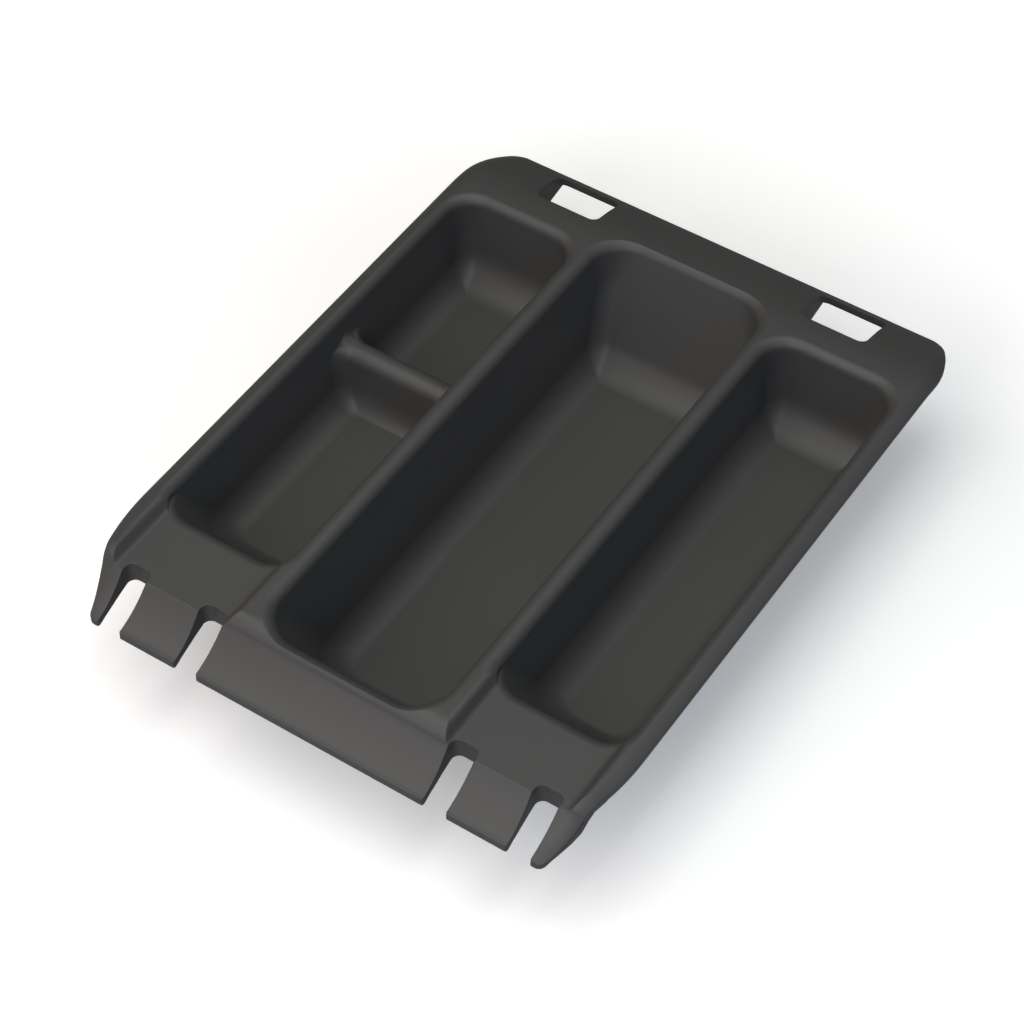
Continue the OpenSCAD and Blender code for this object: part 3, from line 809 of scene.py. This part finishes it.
    def slot_block(self, x: float, grow: float) -> Solid:
        """Cutter for one rear slot, or with grow the outline of its turned-down wall."""
        wide, deep, r = self.slot_length / 2 + grow, self.slot_width / 2 + grow, self.slot_radius + grow
        plan = round_plan(x - wide, x + wide, self.slot_y - deep, self.slot_y + deep, r, r, self.plan_steps)
        return upright(plan, self.lip_z - self.past, self.crest_z + self.past)

    def slot_collar(self, x: float) -> Solid:
        """Turned-down wall round one rear slot: shallow behind it, with a deep cheek at each end."""
        y0 = self.slot_y - self.slot_width / 2 - self.slot_wall
        y1 = self.slot_y + self.slot_width / 2 + self.slot_wall
        ys = [y0 + (y1 - y0) * i / self.curve_steps for i in range(self.curve_steps + 1)]
        upper = [(y, self.droop_z(y) - self.wall / 2) for y in ys]
        rim = [(y, self.droop_z(y) - self.slot_depth) for y in reversed(ys)]
        cheek_z = self.crest_z - self.cheek_depth
        cheek = [(y1, self.droop_z(y1) - self.slot_depth), (self.slot_y, cheek_z),
                 (y0 + self.cheek_lead, cheek_z), (y0, self.crest_z - self.slot_depth)]
        end = (self.slot_length + self.slot_wall) / 2
        half = (self.slot_wall + self.overlap) / 2
        walls = across(upper + rim, -self.half_w, self.half_w).combine(
            Combine.JOIN, [across(upper + cheek, x + s * end - half, x + s * end + half) for s in (-1, 1)])
        trim = along(rectangle(-self.half_w, self.half_w, 0, self.crest_z),
                     -self.half_l, self.half_l - self.overlap)
        return self.slot_block(x, self.slot_wall).combine(Combine.KEEP, [walls, trim])

    def rib_groove(self, side: int) -> Solid:
        """Groove that hollows one rib from below; side is 1 right, -1 left."""
        half = self.rib_width / 2 - self.wall
        middle = side * (self.rib_in + self.rib_width / 2)
        low, high = self.under_z - self.past, self.under_z + self.crest_height
        return along(rectangle(middle - half, middle + half, low, high),
                     -self.side_front + 2 * self.wall, self.side_rear - 2 * self.wall)

    def build(self) -> Piece:
        """Builds the whole moulding in metres.

        Returns:
            The finished piece, at the origin.
        """
        notches = [-self.notch_out, -self.notch_in, self.notch_in, self.notch_out]
        slots = [-self.slot_x, self.slot_x]
        tray = self.deck()
        tray.combine(Combine.JOIN, [
            self.pocket_shell(self.centre, self.centre_floor_z, self.mouth_sink + self.mouth_shell_sink),
            self.pocket_shell(self.right, self.side_floor_z), self.pocket_shell(self.left, self.side_floor_z),
            self.prong_blade(1), self.prong_blade(-1),
            *[self.notch_collar(x) for x in notches], *[self.slot_collar(x) for x in slots]])
        tray.combine(Combine.CUT, [
            self.pocket_space(self.centre, self.centre_floor_z, self.floor_fillet, self.mouth_sink),
            self.pocket_space(self.right, self.side_floor_z, self.floor_fillet),
            self.pocket_space(self.left, self.divider_z, self.divider_blend),
            self.compartment(Compartment.REAR), self.compartment(Compartment.FRONT),
            self.divider_groove(), self.rib_groove(1), self.rib_groove(-1),
            *[self.notch_block(x, 0) for x in notches], *[self.slot_block(x, 0) for x in slots],
            self.platform_space(1), self.platform_space(-1),
            self.platform_edge(self.right), self.platform_edge(self.left)])
        piece = tray.body
        piece.name = piece.data.name = "moulded_tray"
        work = bmesh.new()
        work.from_mesh(piece.data)
        bmesh.ops.remove_doubles(work, verts=work.verts, dist=self.weld)
        bmesh.ops.dissolve_degenerate(work, edges=work.edges, dist=self.weld)
        bmesh.ops.scale(work, vec=(MM, MM, MM), verts=work.verts)
        work.to_mesh(piece.data)
        work.free()
        smooth(piece, self.crease)
        return piece


class Value:
    """A number on a shader socket, with which sums are written as plain expressions."""

    def __init__(self, sheet: Sheet, socket: bpy.types.NodeSocket) -> None:
        """Wraps a socket of a node tree."""
        self.sheet = sheet
        self.socket = socket

    def _math(self, operation: str, first: object, second: object) -> Value:
        """Adds one Math node."""
        return self.sheet.node("ShaderNodeMath", {0: first, 1: second}, operation=operation)

    def __add__(self, other: Value | float) -> Value:
        """Sum."""
        return self._math("ADD", self, other)

    __radd__ = __add__

    def __sub__(self, other: Value | float) -> Value:
        """Difference."""
        return self._math("SUBTRACT", self, other)

    def __rsub__(self, other: float) -> Value:
        """Difference with a number first."""
        return self._math("SUBTRACT", other, self)

    def __mul__(self, other: Value | float) -> Value:
        """Product."""
        return self._math("MULTIPLY", self, other)

    def __truediv__(self, other: Value | float) -> Value:
        """Quotient."""
        return self._math("DIVIDE", self, other)


class Sheet:
    """A node tree that is filled from empty."""

    def __init__(self, tree: bpy.types.NodeTree) -> None:
        """Keeps the tree and clears it."""
        self.tree = tree
        self.tree.nodes.clear()

    def node(self, kind: str, sockets: dict[object, object], out: int | str = 0,
             **settings: object) -> Value:
        """Adds a node.

        Args:
            kind: The node's type.
            sockets: Values or links of its inputs.
            out: Which output to hand back.
            settings: Its settings, which are made first.

        Returns:
            The chosen output, wrapped for sums.
        """
        made = self.tree.nodes.new(kind)
        for key, setting in settings.items():
            setattr(made, key, setting)
        for key, given in sockets.items():
            for link in given if isinstance(given, list) else [given]:
                if isinstance(link, Value):
                    self.tree.links.new(link.socket, made.inputs[key])
                else:
                    made.inputs[key].default_value = link
        return Value(self, made.outputs[out])


def shade(colour: Colour, factor: float = 1.0) -> tuple[float, ...]:
    """A colour made darker or lighter, with full alpha."""
    return (*[c * factor for c in colour], 1.0)


class NodeSheet(Sheet):
    """A material's node tree."""

    def __init__(self, name: str) -> None:
        """Makes an empty material with the place on the object at hand."""
        self.material = bpy.data.materials.new(name)
        self.material.use_nodes = True
        super().__init__(self.material.node_tree)
        self.place = self.node("ShaderNodeTexCoord", {}, "Object")

    def texture(self, kind: str, scale: float, **more: float) -> Value:
        """Adds a texture of some kind and scale."""
        return self.node(f"ShaderNodeTex{kind}", {"Vector": self.place, "Scale": scale, **more})

    def mix_colour(self, share: Value, first: object, second: object) -> Value:
        """Mixes two colours by a share."""
        return self.node("ShaderNodeMix", {"Factor": share, 6: first, 7: second}, 2, data_type="RGBA")

    def surface(self, colour: object, roughness: object, relief: Value, strength: float, depth: float,
                **more: object) -> Finish:
        """Finishes the material as an opaque surface with a relief.

        Args:
            colour: Its colour.
            roughness: Its roughness.
            relief: Height of the relief as a share of its depth.
            strength: How strongly the relief shows.
            depth: Depth of the relief in metres.
            more: Further inputs of the Bump node.

        Returns:
            The material.
        """
        normal = self.node("ShaderNodeBump", {
            "Height": relief, "Strength": strength, "Distance": depth, **more})
        return self.finish(self.node("ShaderNodeBsdfPrincipled",
                                     {"Base Color": colour, "Roughness": roughness, "Normal": normal}))

    def finish(self, shader: Value) -> Finish:
        """Links the shader to an output."""
        self.tree.links.new(shader.socket, self.tree.nodes.new("ShaderNodeOutputMaterial").inputs["Surface"])
        return self.material


class PatternSheet(Sheet):
    """A Geometry Nodes tree whose sizes are named inputs."""

    def __init__(self, name: str) -> None:
        """Makes an empty tree with one geometry output."""
        super().__init__(bpy.data.node_groups.new(name, "GeometryNodeTree"))
        self.tree.interface.new_socket(name="Geometry", in_out="OUTPUT", socket_type="NodeSocketGeometry")
        self.given = self.tree.nodes.new("NodeGroupInput")
        self.sizes: dict[str, float] = {}

    def size(self, name: str, millimetres: float) -> Value:
        """Adds a named size, which is given in millimetres and used in metres."""
        item = self.tree.interface.new_socket(name=name, in_out="INPUT", socket_type="NodeSocketFloat")
        self.sizes[item.identifier] = millimetres * MM
        return Value(self, self.given.outputs[name])

    def grid(self, width: Value, length: Value, rows: int, x: object, y: object,
             z: object) -> Value:
        """Adds points in rows of two.

        Args:
            width: Distance between the two points of a row.
            length: Distance between the first row and the last.
            rows: Number of rows.
            x, y, z: Middle of the points.

        Returns:
            The points.
        """
        points = self.node("GeometryNodeMeshGrid", {"Size X": width, "Size Y": length,
                                                    "Vertices X": 2, "Vertices Y": rows})
        middle = self.node("ShaderNodeCombineXYZ", {0: x, 1: y, 2: z})
        return self.node("GeometryNodeSetPosition", {"Geometry": points, "Offset": middle})

    def finish(self, points: Value, instance: Value,
               finish: Finish) -> Piece:
        """Repeats a shape on points as one plain piece.

        Args:
            points: The points.
            instance: The shape.
            finish: The material that it gets.

        Returns:
            The piece, at the origin.
        """
        many = self.node("GeometryNodeInstanceOnPoints", {"Points": points, "Instance": instance})
        real = self.node("GeometryNodeRealizeInstances", {0: many})
        dressed = self.node("GeometryNodeSetMaterial", {"Geometry": real, "Material": finish})
        self.tree.links.new(dressed.socket, self.tree.nodes.new("NodeGroupOutput").inputs[0])
        piece = show(self.tree.name, bpy.data.meshes.new(self.tree.name))
        pattern = piece.modifiers.new("Pattern", "NODES")
        pattern.node_group = self.tree
        for identifier, size in self.sizes.items():
            pattern[identifier] = size
        bake(piece)
        return piece


@dataclass(frozen=True)
class MatteMoulding:
    """Black plastic with the fine even grain of a spark-eroded mould."""

    colour: Colour = (0.0546, 0.0541, 0.0536)
    roughness: float = 0.46
    roughness_spread: float = 0.05
    patch_scale: float = 22.0
    patch_contrast: float = 0.06
    grain_size: float = 0.00045
    grain_depth: float = 0.00004
    grain_relief: float = 0.35
    grain_roughness: float = 0.6
    detail: float = 3.0
    speck: float = 1.35
    speck_share: float = 0.5
    edge_round: float = 0.0007
    edge_samples: int = 6

    def material(self) -> Finish:
        """Builds the material."""
        sheet = NodeSheet("matte_moulding")
        patches = sheet.texture("Noise", self.patch_scale, Detail=self.detail)
        grain = sheet.texture("Noise", 1 / self.grain_size, Detail=self.detail,
                              Roughness=self.grain_roughness)
        base = sheet.mix_colour(patches, shade(self.colour, 1 - self.patch_contrast),
                                shade(self.colour, 1 + self.patch_contrast))
        speckled = sheet.mix_colour(grain * self.speck_share, base, shade(self.colour, self.speck))
        rough = self.roughness + patches * self.roughness_spread + grain * self.roughness_spread
        rounded = sheet.node("ShaderNodeBevel", {"Radius": self.edge_round}, samples=self.edge_samples)
        return sheet.surface(speckled, rough, grain, self.grain_relief, self.grain_depth, Normal=rounded)


@dataclass(frozen=True)
class Rubber:
    """Soft black rubber with a little dust."""

    colour: Colour = (0.022, 0.022, 0.023)
    roughness: float = 0.75
    dust_roughness: float = 0.1
    dust_scale: float = 400.0
    dust_detail: float = 4.0
    dust_relief: float = 0.3
    dust_shade: float = 1.6
    dust_depth: float = 0.0001

    def material(self) -> Finish:
        """Builds the material."""
        sheet = NodeSheet("bumper_rubber")
        dust = sheet.texture("Noise", self.dust_scale, Detail=self.dust_detail)
        colour = sheet.mix_colour(dust, shade(self.colour), shade(self.colour, self.dust_shade))
        rough = self.roughness + dust * self.dust_roughness
        return sheet.surface(colour, rough, dust, self.dust_relief, self.dust_depth)


@dataclass(frozen=True)
class CellFoam:
    """Dark foam with open cells."""

    colour: Colour = (0.035, 0.035, 0.037)
    roughness: float = 0.9
    cell: float = 0.0006
    pit_painted_shade: float = 0.4
    cell_depth: float = 0.0002
    cell_relief: float = 0.8

    def material(self) -> Finish:
        """Builds the material."""
        sheet = NodeSheet("anti_rattle_foam")
        cells = sheet.texture("Voronoi", 1 / self.cell)
        # The cell pits, low in the relief, are painted darker: painted shade in the pits.
        colour = sheet.mix_colour(cells, shade(self.colour, self.pit_painted_shade), shade(self.colour))
        return sheet.surface(colour, self.roughness, cells, self.cell_relief, self.cell_depth)


@dataclass
class BumperFeet:
    """Four stick-on rubber domes under the centre pocket. Sizes are in millimetres."""

    diameter: float = 12.0
    height: float = 1.6
    foot_share: float = 0.6
    rim: float = 0.3
    span: float = 34.0
    front_y: float = -82.2
    rear_y: float = 85.82
    sides: int = 64
    steps: int = 14
    crease: float = 35.0

    def dome(self, sheet: PatternSheet) -> Value:
        """Turns a cylinder into a dome with a flat foot, whose waist follows a quarter ellipse.

        Args:
            sheet: The tree that it is added to.

        Returns:
            The dome.
        """
        radius, height = sheet.size("Radius", self.diameter / 2), sheet.size("Height", self.height)
        rim = sheet.size("Rim", self.rim)
        blank = sheet.node("GeometryNodeMeshCylinder", {
            "Vertices": self.sides, "Side Segments": self.steps, "Radius": radius, "Depth": height},
                           fill_type="TRIANGLE_FAN")
        place = sheet.node("GeometryNodeInputPosition", {})
        x, y, z = (sheet.node("ShaderNodeSeparateXYZ", {0: place}, axis) for axis in range(3))
        up = z / height + 0.5
        rise = up * up
        low = sheet.node("ShaderNodeMath", {0: rise * height / (height - rim), 1: 1.0}, operation="MINIMUM")
        round_part = sheet.node("ShaderNodeMath", {0: low * (2 - low)}, operation="SQRT")
        waist = round_part * (1 - self.foot_share) + self.foot_share
        turned = sheet.node("ShaderNodeCombineXYZ", {0: x * waist, 1: y * waist, 2: rise * height})
        return sheet.node("GeometryNodeSetPosition", {"Geometry": blank, "Position": turned})

    def build(self) -> Piece:
        """Builds the four feet as one piece."""
        sheet = PatternSheet("bumper_feet")
        dome = self.dome(sheet)
        front, rear = sheet.size("Front", self.front_y), sheet.size("Rear", self.rear_y)
        points = sheet.grid(sheet.size("Span", self.span), rear - front, 2, 0.0, (rear + front) * 0.5, 0.0)
        piece = sheet.finish(points, dome, Rubber().material())
        smooth(piece, self.crease)
        return piece


@dataclass
class EjectorMarks:
    """Round marks that the mould's ejector pins leave under the pockets. Sizes are in millimetres."""

    diameter: float = 7.0
    height: float = 0.12
    sunk: float = 0.6
    centre_x: float = 13.0
    centre_y: float = 60.0
    centre_rows: int = 4
    side_x: float = 75.5
    side_y: float = 62.0
    side_rows: int = 3
    sides: int = 40

    def build(self, centre_z: float, side_z: float, finish: Finish) -> Piece:
        """Builds all marks as one piece.

        Args:
            centre_z: Height of the centre pocket's underside.
            side_z: Height of the side pockets' undersides.
            finish: The moulding's own material.

        Returns:
            The piece.
        """
        sheet = PatternSheet("ejector_marks")
        disc = sheet.node("GeometryNodeMeshCylinder", {
            "Vertices": self.sides, "Radius": sheet.size("Radius", self.diameter / 2),
            "Depth": sheet.size("Depth", self.height + self.sunk)})
        lift = (self.sunk - self.height) / 2
        rows = [sheet.grid(sheet.size(f"{name} width", 2 * x), sheet.size(f"{name} length", 2 * y), count,
                           0.0, 0.0, sheet.size(f"{name} height", z + lift))
                for name, x, y, count, z in (
                    ("Centre", self.centre_x, self.centre_y, self.centre_rows, centre_z),
                    ("Side", self.side_x, self.side_y, self.side_rows, side_z))]
        return sheet.finish(sheet.node("GeometryNodeJoinGeometry", {0: rows}), disc, finish)


@dataclass(frozen=True)
class Foams:
    """Anti-rattle foam that the moulding carries."""

    names: tuple[str, ...] = ("foam_strip_left", "foam_strip_right", "foam_pad_rear")

    def dress(self, nodes: dict[str, Piece]) -> None:
        """Gives the carried-over CAD nodes their finish."""
        foam = CellFoam().material()
        for name in self.names:
            coat(nodes[name], foam)
            LOG.info("dressed %s", name)


def coat(piece: Piece, finish: Finish) -> None:
    """Gives a piece one finish in place of those that it has."""
    piece.data.materials.clear()
    piece.data.materials.append(finish)


def face(name: str, data: bpy.types.ID, target: Point, azimuth: float, elevation: float,
         distance: float) -> Piece:
    """Shows a lamp or a camera that faces a point from a direction.

    Args:
        name: The object's name.
        data: The lamp or camera.
        target: The point that it faces.
        azimuth: Direction in degrees, counted from the front towards the right.
        elevation: Direction in degrees, counted from the floor up.
        distance: How far it is from the point.

    Returns:
        The object.
    """
    a, e = math.radians(azimuth), math.radians(elevation)
    out = Vector((math.sin(a) * math.cos(e), -math.cos(a) * math.cos(e), math.sin(e)))
    made = show(name, data)
    made.location = Vector(target) + out * distance
    made.rotation_mode = "QUATERNION"
    made.rotation_quaternion = (-out).to_track_quat("-Z", "Y")
    return made


@dataclass(frozen=True)
class Softbox:
    """One square softbox that faces the tray, with its direction in degrees."""

    name: str
    azimuth: float
    elevation: float
    power: float
    colour: Colour

    def hang(self, target: Point, distance: float, size: float) -> None:
        """Hangs the softbox.

        Args:
            target: The point that it faces.
            distance: How far it is from that point.
            size: Length of its sides.
        """
        data = bpy.data.lights.new(self.name, "AREA")
        data.shape = "SQUARE"
        data.size = size
        data.energy = self.power
        data.color = self.colour
        face(self.name, data, target, self.azimuth, self.elevation, distance)


@dataclass(frozen=True)
class Studio:
    """Floor, lamps and camera. Lengths are in metres."""

    aim: Point = (0.00842, -0.02542, 0.05597)
    distance: float = 1.1334
    azimuth: float = 33.52
    elevation: float = 49.38
    lens: float = 102.375
    sensor: float = 36.0
    clip: Flat = (0.01, 100.0)
    floor_size: float = 6.0
    floor_colour: Colour = (0.5, 0.5, 0.51)
    glow_near: float = 0.25
    glow_far: float = 0.4
    near_floor: float = 0.2
    far_floor: float = 0.34
    lamp_aim: Point = (0.0, 0.0, 0.03)
    lamp_distance: float = 1.4
    lamp_size: float = 0.7
    softboxes: tuple[Softbox, ...] = (
        Softbox("overhead", 0, 90, 4.9, (0.97, 1.0, 0.96)),
        Softbox("front_high", 0, 62, 2.6, (1.0, 0.9, 0.8)),
        Softbox("front_low", 0, 32, 6.4, (1.0, 0.96, 0.96)),
        Softbox("left_high", 300, 62, 2.9, (0.97, 0.99, 1.0)),
        Softbox("left_low", 300, 32, 2.9, (1.0, 0.88, 0.75)),
        Softbox("right_low", 60, 32, 3.3, (0.57, 0.73, 1.0)),
        Softbox("right_rear_high", 120, 62, 1.3, (1.0, 0.96, 0.97)),
        Softbox("right_rear_low", 120, 32, 1.15, (1.0, 0.97, 0.8)),
        Softbox("rear_high", 180, 62, 0.9, (0.92, 0.96, 1.0)),
    )

    def camera(self) -> None:
        """Places the camera at the photograph's viewing angle."""
        data = bpy.data.cameras.new("camera")
        data.lens = self.lens
        data.sensor_width = self.sensor
        data.clip_start, data.clip_end = self.clip
        bpy.context.scene.camera = face("camera", data, self.aim, self.azimuth, self.elevation, self.distance)

    def floor(self) -> None:
        """Makes the pale floor, which the camera sees as near white but for the shadow, with a painted glow
        that grows away from the tray.
        """
        half = self.floor_size / 2
        mesh = bpy.data.meshes.new("floor")
        mesh.from_pydata([(x, y, 0) for x, y in rectangle(-half, half, -half, half)], [], [(0, 1, 2, 3)])
        floor = show("floor", mesh)
        sheet = NodeSheet("floor_paper")
        seen = sheet.node("ShaderNodeLightPath", {}, "Is Camera Ray")
        colour = sheet.mix_colour(seen, shade(self.floor_colour), (1.0, 1.0, 1.0, 1.0))
        paper = sheet.node("ShaderNodeBsdfDiffuse", {"Color": colour})
        # Camera rays see an emitted glow on the floor: painted light, weaker near the tray and stronger from
        # near_floor to far_floor away from it.
        away = sheet.node("ShaderNodeVectorMath", {0: sheet.place}, "Value", operation="LENGTH")
        far = sheet.node("ShaderNodeMapRange", {"Value": away, "From Min": self.near_floor,
                                                 "From Max": self.far_floor}, interpolation_type="SMOOTHSTEP")
        glow = sheet.mix_colour(far, shade((self.glow_near,) * 3), shade((self.glow_far,) * 3))
        lift = sheet.node("ShaderNodeEmission", {"Color": glow, "Strength": seen})
        mesh.materials.append(sheet.finish(sheet.node("ShaderNodeAddShader", {0: paper, 1: lift})))

    def light(self) -> None:
        """Hangs the softboxes in a dark room."""
        world = bpy.data.worlds.new("studio")
        world.use_nodes = True
        world.node_tree.nodes["Background"].inputs["Color"].default_value = (0.0, 0.0, 0.0, 1.0)
        bpy.context.scene.world = world
        for softbox in self.softboxes:
            softbox.hang(self.lamp_aim, self.lamp_distance, self.lamp_size)

    def build(self) -> None:
        """Makes the whole studio."""
        self.floor()
        self.light()
        self.camera()
        bpy.context.scene.view_settings.view_transform = "Standard"


def main() -> None:
    """Builds the tray, its fittings and the studio."""
    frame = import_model()
    moulding = TrayMoulding()
    plastic = MatteMoulding().material()
    tray = moulding.build()
    coat(tray, plastic)
    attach(tray, "root")
    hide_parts("tray_moulding")
    centre_z, side_z = moulding.centre_floor_z - moulding.wall, moulding.side_floor_z - moulding.wall
    marks = EjectorMarks().build(centre_z, side_z, plastic)
    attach(marks, "root")
    feet = BumperFeet().build()
    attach(feet, "root")
    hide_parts("bumper_front_left", "bumper_front_right", "bumper_rear_left", "bumper_rear_right")
    for piece in (tray, marks, feet):
        LOG.info("built %s: %d faces", piece.name, len(piece.data.polygons))
    Foams().dress(frame["nodes"])
    Studio().build()


if __name__ == "__main__":
    logging.basicConfig(level=logging.INFO)
    main()
